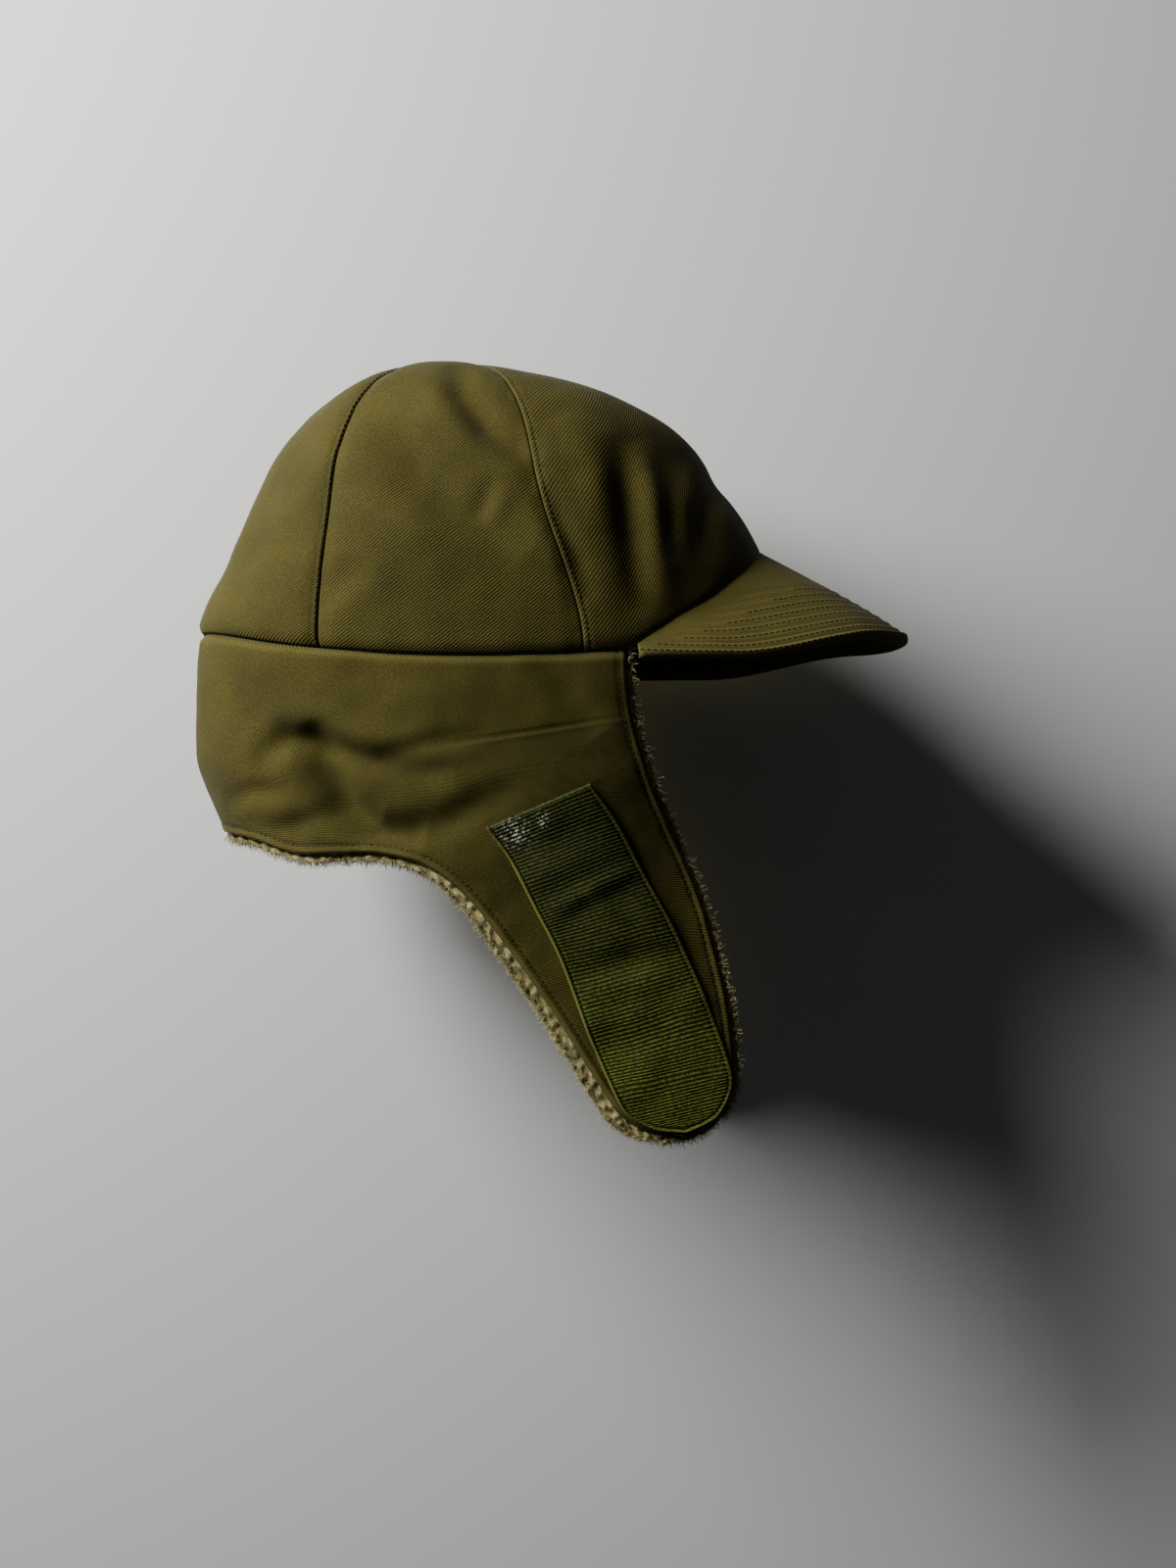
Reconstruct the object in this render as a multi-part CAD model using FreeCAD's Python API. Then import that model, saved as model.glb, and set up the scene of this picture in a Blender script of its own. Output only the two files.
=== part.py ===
import FreeCAD
import Part
import math
import os
from FreeCAD import Vector

# Trapper hat in twill with a pile lining: a crown of six gores, a curtain that covers
# ears and neck, an ear flap on each side and an arched visor. Millimetres.
# Frame: +X is forward, towards the visor, +Y is the wearer's left, +Z is up.
# The origin is the middle of the head opening, level with the top of the curtain.

# Form of the outer shell.
half_length = 125.0         # middle to back, at the origin's level
half_width = 78.0           # middle to side, at the origin's level
crown_height = 119.5        # origin to apex
apex_shift = -18.0          # the apex lies behind the middle
side_profile = 1.85         # roundness of the crown seen from the side, 2 is an ellipse
front_profile = 2.6         # roundness of the crown seen from the front
front_fullness = 11.0       # the crown's upper front bulges this far beyond the round form
front_full_span = ((0.52, 0.79), (0.84, 1.02))  # shares of the height: rise, then fall
rear_flattening = 7.0       # the crown's lower back is flatter than the round form
rear_flat_span = ((0.02, 0.3), (0.42, 0.9))
plan_squareness = 2.25      # roundness of the sections seen from above
nape_tuck = 14.0            # how far the neck edge draws in
flap_flattening = 60.0      # growth of the half length that makes the ear flaps flat
flap_shift = 45.0           # forward shift of the sections that the ear flaps lie on
flap_draw_in = 3.0          # how far the ear flaps lean towards the face

# Cloth thicknesses.
shell_cloth = 1.2
wadding = 4.0
crown_lining = 1.3
pile = 7.0
sweatband_cloth = 1.2
sweatband_gap = 0.1         # the band lies loose on the crown lining
label_cloth = 0.5
patch_cloth = 1.6

# Crown seams. Angles are measured round the apex from straight ahead.
front_seam_angle = 56.0
rear_seam_angle = 125.0

# Side view of the seam between crown and curtain, then of the one above the visor.
band_seam = [(-160, 7), (-120, 3), (-75, -5), (-20, -9.5), (30, -9), (60, -7)]
visor_seam = [(60, -7), (82, 7), (100, 20.5), (116.5, 37.3), (150, 72)]

# Side view of the free edge of curtain and ear flap: down the front, round the tip,
# up behind the flap and back along the neck.
flap_front = [(57, 25), (57, -12), (59.5, -35), (66.5, -58), (77, -82), (88, -110), (95.5, -140), (98.5, -166)]
flap_tip = (78, -195.2)
flap_rear = [(53, -186.5), (37, -162), (20, -136), (4, -114), (-8, -100.5), (-21, -91.5), (-38, -86.5), (-56, -86.5), (-75, -87), (-95, -81.5), (-113, -74.5), (-160, -66)]
pile_edge = 3.0             # the pile shows this far beyond the shell

# The ear flap folds up along a line just above the hook-and-loop tape.
fold_point = (21.0, -64.5)
fold_slope = 23.2           # degrees, rising forwards
fold_relief = 22.0          # degrees cut away inside the fold, for the push towards the cheek
fold_clearance = 2.0        # between the tape and the fold axis
tape_width = 44.0
tape_gap = 3.0              # fold line to the tape's upper end
tape_margin = 1.2           # tape's rounded end to the shell's edge
hook_length = 62.0
hook_margin = 7.0

# Visor.
visor_length = 53.5         # front of the crown's widest section to the front of the visor
visor_end = 58.5            # origin to the visor's two ends
visor_flare = 2.1           # the ends stand this far out from the crown's sides
visor_end_share = 0.94      # the sheet ends just short of the two points where seam and edge meet
visor_side_drop = 8.5       # the side edges hang this far below the origin
visor_front_rise = 0.6
visor_edge_bow = 1.2        # how soon the edge rises from the sides, 1 is a cosine
visor_crest = 1.7           # swell of the visor between seam and front edge
visor_cover = 1.1
visor_core = 2.2
visor_tuck = 0.07           # share of the depth that is tucked under the crown
visor_lap = 1.5             # the crown's lower edge laps this far over the visor

sweatband_height = 28.0
sweatband_end = 30.0
label_width = 34.0
label_height = 26.0
label_bottom = 24.0

section_points = 36
crown_loft_angles = (3, 14, 26, 38, 50, 61, 71, 79, 84)  # degrees up a quarter circle
wall_loft_heights = (20, 8, -4, -18, -32, -46, -60, -74, -88, -104, -124, -148, -172, -200, -225)
far = 400.0                 # reach of the cutting blocks, beyond every piece


def ease(value, low, high):
    t = min(max((value - low) / (high - low), 0.0), 1.0)
    return t * t * (3 - 2 * t)


def swell(share, span):
    """Rises over the first pair of shares of the height and falls over the second."""
    return ease(share, *span[0]) * (1 - ease(share, *span[1]))


def section(z, inset):
    """Half length, half width and middle of the form at a height."""
    if z > 0:
        f = z / (crown_height - inset)
        length = (half_length - inset) * (1 - f ** side_profile) ** (1 / side_profile)
        width = (half_width - inset) * (1 - f ** front_profile) ** (1 / front_profile)
        full = front_fullness * swell(f, front_full_span)
        flat = rear_flattening * swell(f, rear_flat_span)
        return length + (full - flat) / 2, width, apex_shift * f ** 3 + (full + flat) / 2
    low = ease(-z, 60, 210)
    length = half_length - inset - nape_tuck * ease(-z, 45, 90) + flap_flattening * low
    width = half_width - inset - flap_draw_in * ease(-z, 50, 200)
    return length, width, flap_shift * low


def side_distance(x, z, inset=0.0):
    """Distance from the middle plane to the form's side."""
    length, width, middle = section(z, inset)
    q = min(abs(x - middle) / length, 1.0)
    return width * (1 - q ** plan_squareness) ** (1 / plan_squareness)


def reach(angle, z):
    """Distance from the upright line through the origin to the form, found by halving."""
    length, width, middle = section(z, 0.0)
    low, high = 0.0, far
    for _ in range(40):
        r = (low + high) / 2
        x = abs(r * math.cos(angle) - middle) / length
        y = abs(r * math.sin(angle)) / width
        if x ** plan_squareness + y ** plan_squareness > 1:
            high = r
        else:
            low = r
    return low


def section_wire(z, inset):
    length, width, middle = section(z, inset)
    power = 2 / plan_squareness
    points = []
    for i in range(section_points):
        t = 2 * math.pi * (i + 0.5) / section_points
        c, s = math.cos(t), math.sin(t)
        x = middle + length * math.copysign(abs(c) ** power, c)
        y = width * math.copysign(abs(s) ** power, s)
        points.append(Vector(x, y, z))
    curve = Part.BSplineCurve()
    curve.interpolate(Points=points, PeriodicFlag=True)
    return Part.Wire([curve.toShape()])


def crown_form(inset):
    top = crown_height - inset
    heights = [-20, -8] + [top * math.sin(math.radians(a)) for a in crown_loft_angles]
    wires = [section_wire(z, inset) for z in heights]
    return Part.makeLoft(wires, True, False)


def wall_form(inset):
    wires = [section_wire(z, inset) for z in wall_loft_heights]
    return Part.makeLoft(wires, True, False)


def layer(form, outer, inner):
    return form(outer).cut(form(inner))


def spline(points):
    curve = Part.BSplineCurve()
    curve.interpolate([Vector(x, 0, z) for x, z in points])
    return curve.toShape()


def line(a, b):
    return Part.LineSegment(Vector(a[0], 0, a[1]), Vector(b[0], 0, b[1])).toShape()


def prism(edges, low=-far, high=far):
    """Block with this outline in the side view, from one distance across to another."""
    face = Part.Face(Part.Wire(edges))
    face.translate(Vector(0, low, 0))
    return face.extrude(Vector(0, high - low, 0))


def above_seam(lift=0.0):
    first, last = band_seam[0], visor_seam[-1]
    edges = [
        spline(band_seam),
        spline(visor_seam),
        line(last, (last[0], far)),
        line((last[0], far), (first[0], far)),
        line((first[0], far), first),
    ]
    block = prism(edges)
    block.translate(Vector(0, 0, lift))
    return block


def grown(points, growth):
    """An outline's points, moved out of it by the growth. The outline runs clockwise."""
    moved = []
    for i, (x, z) in enumerate(points):
        x0, z0 = points[max(i - 1, 0)]
        x1, z1 = points[min(i + 1, len(points) - 1)]
        length = math.hypot(x1 - x0, z1 - z0)
        moved.append((x - growth * (z1 - z0) / length, z + growth * (x1 - x0) / length))
    return moved


def side_outline(growth):
    """Block of the right half, with the outline of curtain and flap together in the side view."""
    points = grown(flap_front + [flap_tip] + flap_rear, growth)
    front = points[:len(flap_front)]
    tip = points[len(flap_front)]
    rear = points[len(flap_front) + 1:]
    round_tip = Part.Arc(*[Vector(x, 0, z) for x, z in (front[-1], tip, rear[0])]).toShape()
    corner = (rear[-1][0], front[0][1])
    edges = [spline(front), round_tip, spline(rear), line(rear[-1], corner), line(corner, front[0])]
    return prism(edges, -far, 0)


def edge_height_on(points, x):
    """Height of a side-view polyline at x."""
    for (x0, z0), (x1, z1) in zip(points, points[1:]):
        if min(x0, x1) <= x <= max(x0, x1):
            return z0 + (z1 - z0) * (x - x0) / (x1 - x0)
    raise ValueError("x is outside the line")


def fold_height(x):
    return fold_point[1] + (x - fold_point[0]) * math.tan(math.radians(fold_slope))


def fold_ends():
    """Where the fold line meets the rear and the front edge of the flap."""
    ends = []
    for points in (flap_rear, flap_front):
        for a, b in zip(points, points[1:]):
            da, db = a[1] - fold_height(a[0]), b[1] - fold_height(b[0])
            if da * db <= 0:
                x = a[0] + (b[0] - a[0]) * da / (da - db)
                ends.append(x)
                break
    return ends


def fold_axis():
    """Point and direction of the right flap's fold axis, just outside the cloth."""
    rear, front = fold_ends()
    y_rear = side_distance(rear, fold_height(rear))
    y_front = side_distance(front, fold_height(front))
    lean = (y_front - y_rear) / (front - rear)
    steps = 20
    proud = 0.0
    for i in range(steps + 1):
        x = rear + (front - rear) * i / steps
        chord = y_rear + lean * (x - rear)
        proud = max(proud, side_distance(x, fold_height(x)) - chord)
    offset = proud + patch_cloth + fold_clearance
    x, z = fold_point
    y = -(y_rear + lean * (x - rear) + offset)
    rise = math.tan(math.radians(fold_slope))
    direction = Vector(1, -lean, rise).normalize()
    return Vector(x, y, z), direction


def half_space(point, direction, down_angle):
    """Block under a plane through the axis that falls inwards by an angle."""
    across = Vector(0, 1, 0)
    inward = (across - direction * across.dot(direction)).normalize()
    normal = direction.cross(inward)
    if normal.z < 0:
        normal = normal * -1
    turn = math.radians(down_angle)
    inward_down = inward * math.cos(turn) - normal * math.sin(turn)
    up = inward * math.sin(turn) + normal * math.cos(turn)
    corners = [(-far, -far), (far, -far), (far, far), (-far, far), (-far, -far)]
    points = [point + direction * u + inward_down * v for u, v in corners]
    return Part.Face(Part.makePolygon(points)).extrude(up * -far)


def tape_strip(start, length):
    """Side-view block of a tape's width that runs down the flap from the fold line."""
    slope = math.radians(fold_slope)
    along = (math.sin(slope), -math.cos(slope))
    across = (math.cos(slope), math.sin(slope))
    middle = tape_middle()
    corners = []
    for u, v in ((-1, 0), (1, 0), (1, 1), (-1, 1)):
        s = start + v * length
        x = middle[0] + along[0] * s + across[0] * u * tape_width / 2
        z = middle[1] + along[1] * s + across[1] * u * tape_width / 2
        corners.append((x, z))
    edges = [line(corners[i], corners[(i + 1) % 4]) for i in range(4)]
    return prism(edges, -far, 0)


def tape_middle():
    """Point on the fold line that the tape hangs from, so that its end meets the tip."""
    slope = math.radians(fold_slope)
    drop = fold_height(flap_tip[0]) - flap_tip[1]
    back = drop * math.cos(slope) * math.sin(slope)
    x = flap_tip[0] - back
    return x, fold_height(x)


def flap_length():
    x, z = tape_middle()
    return math.hypot(flap_tip[0] - x, flap_tip[1] - z)


def wedge(start, end):
    """Upright block round the apex between two seam angles."""
    points = [Vector(apex_shift, 0, -far)]
    for angle in (start, (start + end) / 2, end):
        a = math.radians(angle)
        points.append(Vector(apex_shift + far * math.cos(a), -far * math.sin(a), -far))
    points.append(points[0])
    return Part.Face(Part.makePolygon(points)).extrude(Vector(0, 0, 2 * far))


def visor_seam_point(angle):
    """Point of the crown's lower front seam in a direction."""
    x, z = half_length, 0.0
    for _ in range(40):
        x = reach(angle, z) * math.cos(angle)
        z = 0.5 * z + 0.5 * edge_height_on(visor_seam, max(x, visor_seam[0][0]))
    return Vector(x, x * math.tan(angle), z + visor_lap)


def visor_edge_point(turn):
    """Point of the visor's outer edge, a quarter turn from its front to each end."""
    depth = math.cos(turn)
    visor_reach = half_length + visor_length
    visor_half_width = side_distance(visor_end, 0) + visor_flare
    return Vector(
        visor_end + (visor_reach - visor_end) * depth,
        visor_half_width * math.sin(turn),
        -visor_side_drop + (visor_side_drop + visor_front_rise) * depth ** visor_edge_bow,
    )


def visor_point(u, v, seam):
    """Point of the visor's top face: u runs from side to side, v from seam to front edge."""
    turn = u * math.pi / 2
    v_on = min(max(v, 0.0), 1.0)
    crest = visor_crest * math.cos(turn) * v_on * (1 - v_on ** 3) / 0.47
    return seam + (visor_edge_point(turn) - seam) * v + Vector(0, 0, crest)


def visor_sheet():
    across, deep = 25, 9
    end_angle = math.atan2(side_distance(visor_end + 1, -6), visor_end + 1)
    rows = []
    for i in range(across):
        u = visor_end_share * (2 * i / (across - 1) - 1)
        seam = visor_seam_point(u * end_angle)
        vs = [-visor_tuck + (1 + visor_tuck) * j / (deep - 1) for j in range(deep)]
        rows.append([visor_point(u, v, seam) for v in vs])
    surface = Part.BSplineSurface()
    surface.interpolate(rows)
    return surface.toShape()


def mirrored(shape):
    return shape.mirror(Vector(0, 0, 0), Vector(0, 1, 0))


def solids_of(shape):
    solids = [s for s in shape.Solids if s.Volume > 1.0]
    return solids[0] if len(solids) == 1 else Part.makeCompound(solids)


nodes = {}


def keep(name, shape):
    nodes[name] = solids_of(shape)


def keep_pair(name, shape):
    keep(name + "_right", shape)
    keep(name + "_left", mirrored(shape))


def make_crown():
    crown = above_seam()
    gores = {
        "front": wedge(0, front_seam_angle),
        "side": wedge(front_seam_angle, rear_seam_angle),
        "rear": wedge(rear_seam_angle, 180),
    }
    depths = [0, shell_cloth, shell_cloth + wadding, shell_cloth + wadding + crown_lining]
    for name, outer, inner in zip(("shell", "wadding", "lining"), depths, depths[1:]):
        whole = layer(crown_form, outer, inner).common(crown)
        for gore, block in gores.items():
            keep_pair("crown_" + name + "_" + gore, whole.common(block))


def make_sides():
    crown = above_seam()
    point, direction = fold_axis()
    below_fold = half_space(point, direction, 0)
    below_relief = half_space(point, direction, fold_relief)
    cloth = layer(wall_form, 0, shell_cloth).common(side_outline(0)).cut(crown)
    furry = layer(wall_form, shell_cloth, shell_cloth + pile).common(side_outline(pile_edge)).cut(crown)
    keep_pair("curtain_shell", cloth.cut(below_fold))
    keep_pair("curtain_lining", furry.cut(below_fold))
    keep_pair("flap_shell", cloth.common(below_relief))
    keep_pair("flap_lining", furry.common(below_relief))
    tape = layer(wall_form, -patch_cloth, 0)
    tape = tape.common(side_outline(-tape_margin)).common(tape_strip(tape_gap, flap_length()))
    keep("loop_tape_right", tape)
    depth = shell_cloth + pile
    hooks = layer(wall_form, depth, depth + patch_cloth).common(side_outline(-hook_margin))
    hooks = hooks.common(tape_strip(flap_length() - hook_length, hook_length))
    keep("hook_tape_left", mirrored(hooks))


def make_visor():
    crown = crown_form(0)
    raised = above_seam()
    sheet = visor_sheet()
    top = 0.0
    for name, depth in (("visor_top_cover", visor_cover), ("visor_board", visor_core), ("visor_under_cover", visor_cover)):
        ply = sheet.copy()
        ply.translate(Vector(0, 0, -top))
        ply = ply.extrude(Vector(0, 0, -depth))
        top += depth
        tucked = ply.common(crown).cut(raised)
        keep(name, ply.cut(crown).fuse(tucked))


def make_inside():
    depth = shell_cloth + wadding + crown_lining
    band = layer(crown_form, depth + sweatband_gap, depth + sweatband_gap + sweatband_cloth)
    band = band.common(above_seam()).cut(above_seam(sweatband_height))
    right = band.common(Part.makeBox(far, far, 2 * far, Vector(sweatband_end, -far, -far)))
    keep("forehead_sweatband", right.fuse(mirrored(right)))
    label = layer(crown_form, depth, depth + label_cloth)
    block = Part.makeBox(far, label_width, label_height, Vector(-far, -label_width / 2, label_bottom))
    keep("size_label", label.common(block))


def write_parts():
    os.makedirs("parts", exist_ok=True)
    for name, shape in sorted(nodes.items()):
        shape.exportStep("parts/" + name + ".step")
        print(f"{name}: {len(shape.Solids)} solid, valid {shape.isValid()}, {shape.Volume / 1000:.1f} cm3")


make_crown()
make_sides()
make_visor()
make_inside()
write_parts()
point, direction = fold_axis()
print("right fold axis through", [round(v, 3) for v in point], "along", [round(v, 5) for v in direction])
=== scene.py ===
import bpy
import math
import numpy as np
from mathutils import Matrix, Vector, noise


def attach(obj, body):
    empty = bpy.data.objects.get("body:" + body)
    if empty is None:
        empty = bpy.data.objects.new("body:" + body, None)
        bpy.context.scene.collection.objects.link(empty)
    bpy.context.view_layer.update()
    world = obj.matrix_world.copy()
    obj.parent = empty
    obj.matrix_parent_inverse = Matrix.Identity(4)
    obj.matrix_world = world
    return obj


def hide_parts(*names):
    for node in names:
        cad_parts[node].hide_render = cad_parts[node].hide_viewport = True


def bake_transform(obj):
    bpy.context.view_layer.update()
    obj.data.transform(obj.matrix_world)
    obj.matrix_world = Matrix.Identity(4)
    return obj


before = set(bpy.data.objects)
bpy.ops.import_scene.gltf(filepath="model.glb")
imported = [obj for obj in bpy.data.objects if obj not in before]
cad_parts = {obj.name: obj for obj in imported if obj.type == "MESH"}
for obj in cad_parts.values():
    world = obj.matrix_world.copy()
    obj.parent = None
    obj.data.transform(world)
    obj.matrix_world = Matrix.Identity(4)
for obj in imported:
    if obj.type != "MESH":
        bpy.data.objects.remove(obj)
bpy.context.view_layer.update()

print("frame loaded:", len(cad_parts), "nodes")

# All shapes are worked out in millimetres and written to the meshes in metres.
mm = 0.001

# The hat's form: the same sizes as the frame's.
form = {
    "halfLength": 125.0,
    "halfWidth": 78.0,
    "height": 119.5,
    "apexX": -18.0,
    "sideRound": 1.85,
    "frontRound": 2.6,
    "square": 2.25,
    "napeTuck": 14.0,
    "flapGrow": 60.0,
    "flapShift": 45.0,
    "flapLean": 3.0,
    "frontFull": 11.0,
    "frontFullSpan": ((0.52, 0.79), (0.84, 1.02)),
    "rearFlat": 7.0,
    "rearFlatSpan": ((0.02, 0.3), (0.42, 0.9)),
}
bandSeam = [(-160, 7), (-120, 3), (-75, -5), (-20, -9.5), (30, -9), (60, -7)]
visorSeam = [(60, -7), (82, 7), (100, 20.5), (116.5, 37.3), (150, 72)]


def ease(value, low, high):
    t = np.clip((value - low) / (high - low), 0.0, 1.0)
    return t * t * (3 - 2 * t)


def bell(distance, width):
    return np.exp(-(distance / width) ** 2)


def throughPoints(points, at):
    # Catmull-Rom curve through the points, read at positions counted in points
    p = np.array(points, float)
    p = np.vstack([2 * p[0] - p[1], p, 2 * p[-1] - p[-2]])
    i = np.clip(np.floor(at).astype(int), 0, len(points) - 2)
    t = (at - i)[:, None]
    a, b, c, d = p[i], p[i + 1], p[i + 2], p[i + 3]
    return b + 0.5 * t * (c - a + t * (2 * a - 5 * b + 4 * c - d + t * (3 * (b - c) + d - a)))


seamLine = np.vstack([
    throughPoints(bandSeam, np.linspace(0, 5, 120)),
    throughPoints(visorSeam, np.linspace(0, 4, 90))[1:],
])


def seamHeight(x):
    return np.interp(x, seamLine[:, 0], seamLine[:, 1])


def swell(share, span):
    return ease(share, *span[0]) * (1 - ease(share, *span[1]))


def section(z, inset=0.0):
    # half length, half width and middle of the form at a height
    up = np.clip(z / (form["height"] - inset), 0.0, 1.0)
    low = ease(-z, 60, 210)
    length = (form["halfLength"] - inset) * (1 - up ** form["sideRound"]) ** (1 / form["sideRound"])
    width = (form["halfWidth"] - inset) * (1 - up ** form["frontRound"]) ** (1 / form["frontRound"])
    length = length - form["napeTuck"] * ease(-z, 45, 90) + form["flapGrow"] * low
    width = width - form["flapLean"] * ease(-z, 50, 200)
    full = form["frontFull"] * swell(up, form["frontFullSpan"])
    flat = form["rearFlat"] * swell(up, form["rearFlatSpan"])
    middle = form["apexX"] * up ** 3 + form["flapShift"] * low + (full + flat) / 2
    return length + (full - flat) / 2, width, middle


def wallPoint(turn, z, inset=0.0):
    # point of the wall at an angle of its section: 0 ahead, pi behind, on the right side
    length, width, middle = section(z, inset)
    c, s = np.cos(turn), np.sin(turn)
    power = 2 / form["square"]
    x = middle + length * np.sign(c) * np.abs(c) ** power
    y = -width * np.abs(s) ** power
    return np.stack([x, y, z + 0 * x], -1)


def wallTurn(x, z):
    length, width, middle = section(z)
    q = np.clip((x - middle) / length, -1, 1)
    return np.arccos(np.sign(q) * np.abs(q) ** (form["square"] / 2))


def crownReach(turn, z, inset, start=form["apexX"]):
    # distance from an upright line in the middle plane to the crown's surface, found by halving
    length, width, middle = section(z, inset)
    length, width = np.maximum(length, 0.01), np.maximum(width, 0.01)
    low, high = np.zeros_like(z + turn), np.full_like(z + turn, 200.0)
    for _ in range(26):
        half = (low + high) / 2
        x = np.abs(start + half * np.cos(turn) - middle) / length
        y = np.abs(half * np.sin(turn)) / width
        outside = x ** form["square"] + y ** form["square"] > 1
        high = np.where(outside, half, high)
        low = np.where(outside, low, half)
    return (low + high) / 2


def crownAt(turn, z, inset=0.0):
    reach = crownReach(turn, z, inset)
    return np.stack([form["apexX"] + reach * np.cos(turn), -reach * np.sin(turn), z], -1)


def crownFoot(turn, inset=0.0):
    # height of the crown's lower seam in a direction
    foot = np.zeros_like(turn)
    for _ in range(14):
        x = form["apexX"] + crownReach(turn, foot, inset) * np.cos(turn)
        foot = 0.4 * foot + 0.6 * seamHeight(x)
    return foot


def crownPoint(turn, up, inset=0.0):
    # turn is measured round the apex from straight ahead, up runs from the lower seam to the apex
    foot = crownFoot(turn + 0 * up, inset)
    top = form["height"] - inset
    return crownAt(turn + 0 * up, foot + (top - foot) * np.sin(up * math.pi / 2), inset)


def normalsOf(grid):
    # outward normals of a grid of points on the right side of the hat
    across = np.gradient(grid, axis=1)
    down = np.gradient(grid, axis=0)
    n = np.cross(across, down)
    size = np.linalg.norm(n, axis=-1, keepdims=True)
    n = n / np.maximum(size, 1e-9)
    for axis, rows in ((0, (0, 1)), (0, (-1, -2)), (1, (0, 1)), (1, (-1, -2))):
        edge, inner = (n[rows[0]], n[rows[1]]) if axis == 0 else (n[:, rows[0]], n[:, rows[1]])
        weak = (size[rows[0]] if axis == 0 else size[:, rows[0]]) < 1e-4
        edge[:] = np.where(weak, inner, edge)
    middle = np.array([form["apexX"] * 0.5, 0.0, 0.0])
    away = grid - middle
    away[..., 2] *= 0.5
    if (n * away).sum() < 0:
        n = -n
    return n


def unevenness(grid, scale, seed):
    # slow noise over a grid, -1 to 1
    flat = grid.reshape(-1, 3) / scale + seed
    values = [noise.noise(Vector(p)) for p in flat]
    return np.array(values).reshape(grid.shape[:-1])


def slack(grid, waves):
    # unevenness of loose cloth, as the sum of waves: each has a height, a length and a seed
    return sum(height * unevenness(grid, length, seed) for height, length, seed in waves)


def arcLengths(grid):
    # distances across each row from its middle, and down each column from its top
    step = np.linalg.norm(np.diff(grid, axis=1), axis=-1)
    across = np.concatenate([np.zeros((grid.shape[0], 1)), np.cumsum(step, axis=1)], axis=1)
    across = across - across[:, -1:] / 2
    step = np.linalg.norm(np.diff(grid, axis=0), axis=-1).mean(axis=1)
    down = np.concatenate([[0], np.cumsum(step)])
    return across, np.broadcast_to(down[:, None], across.shape)


def clothFromGrid(name, grid, mirror=False, values=None):
    # a primitive grid with each vertex moved to its place; its UV map is in metres of cloth
    rows, columns = grid.shape[:2]
    bpy.ops.object.select_all(action="DESELECT")
    bpy.ops.mesh.primitive_grid_add(
        x_subdivisions=columns - 1, y_subdivisions=rows - 1, size=1, calc_uvs=True)
    piece = bpy.context.object
    piece.name = name
    piece.data.name = name
    start = np.zeros(len(piece.data.vertices) * 3)
    piece.data.vertices.foreach_get("co", start)
    start = start.reshape(-1, 3)
    column = np.rint((start[:, 0] + 0.5) * (columns - 1)).astype(int)
    row = np.rint((0.5 - start[:, 1]) * (rows - 1)).astype(int)
    places = grid[row, column] * mm
    if mirror:
        places = places * np.array([1, -1, 1])
    piece.data.vertices.foreach_set("co", places.ravel())
    across, down = arcLengths(grid)
    corner = np.zeros(len(piece.data.loops), int)
    piece.data.loops.foreach_get("vertex_index", corner)
    uv = np.stack([across[row, column][corner], -down[row, column][corner]], -1) * mm
    piece.data.uv_layers[0].data.foreach_set("uv", uv.ravel())
    for key, value in (values or {}).items():
        layer = piece.data.attributes.new(key, "FLOAT", "POINT")
        layer.data.foreach_set("value", value[row, column].astype(np.float32))
    piece.data.update()
    return piece


def finishCloth(piece, thickness, facing):
    # closes poles, turns the faces outwards and gives the cloth its thickness inwards
    bpy.ops.object.select_all(action="DESELECT")
    piece.select_set(True)
    bpy.context.view_layer.objects.active = piece
    bpy.ops.object.mode_set(mode="EDIT")
    bpy.ops.mesh.select_all(action="SELECT")
    bpy.ops.mesh.remove_doubles(threshold=0.02 * mm)
    bpy.ops.object.mode_set(mode="OBJECT")
    face = piece.data.polygons[len(piece.data.polygons) // 2]
    if face.normal.dot(Vector(facing(face.center))) < 0:
        bpy.ops.object.mode_set(mode="EDIT")
        bpy.ops.mesh.select_all(action="SELECT")
        bpy.ops.mesh.flip_normals()
        bpy.ops.object.mode_set(mode="OBJECT")
    bpy.ops.object.shade_smooth()
    if thickness:
        solid = piece.modifiers.new("thickness", "SOLIDIFY")
        solid.thickness = thickness * mm
        solid.offset = -1
        bpy.ops.object.modifier_apply(modifier="thickness")
    return piece


def awayFromMiddle(point):
    return (point.x + 0.01, point.y, point.z * 0.4)


def onSurface(points, base, lift, normals):
    # points near a grid, moved out to its lifted surface, with the surface's normals there
    flat, n, up = base.reshape(-1, 3), normals.reshape(-1, 3), lift.reshape(-1)
    nearest = np.array([((flat - p) ** 2).sum(axis=1).argmin() for p in points])
    height = ((flat[nearest] - points) * n[nearest]).sum(axis=1) + up[nearest]
    return points + n[nearest] * height[:, None], n[nearest]


def spaced(points, normals, pitch):
    # evenly spaced places along a line, with the line's direction and the normal there
    step = np.linalg.norm(np.diff(points, axis=0), axis=1)
    total = np.concatenate([[0], np.cumsum(step)])
    at = np.arange(pitch / 2, total[-1], pitch)
    place = np.stack([np.interp(at, total, points[:, i]) for i in range(3)], -1)
    ahead = np.stack([np.interp(at + 0.4, total, points[:, i]) for i in range(3)], -1)
    behind = np.stack([np.interp(at - 0.4, total, points[:, i]) for i in range(3)], -1)
    normal = np.stack([np.interp(at, total, normals[:, i]) for i in range(3)], -1)
    return place, ahead - behind, normal


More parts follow.
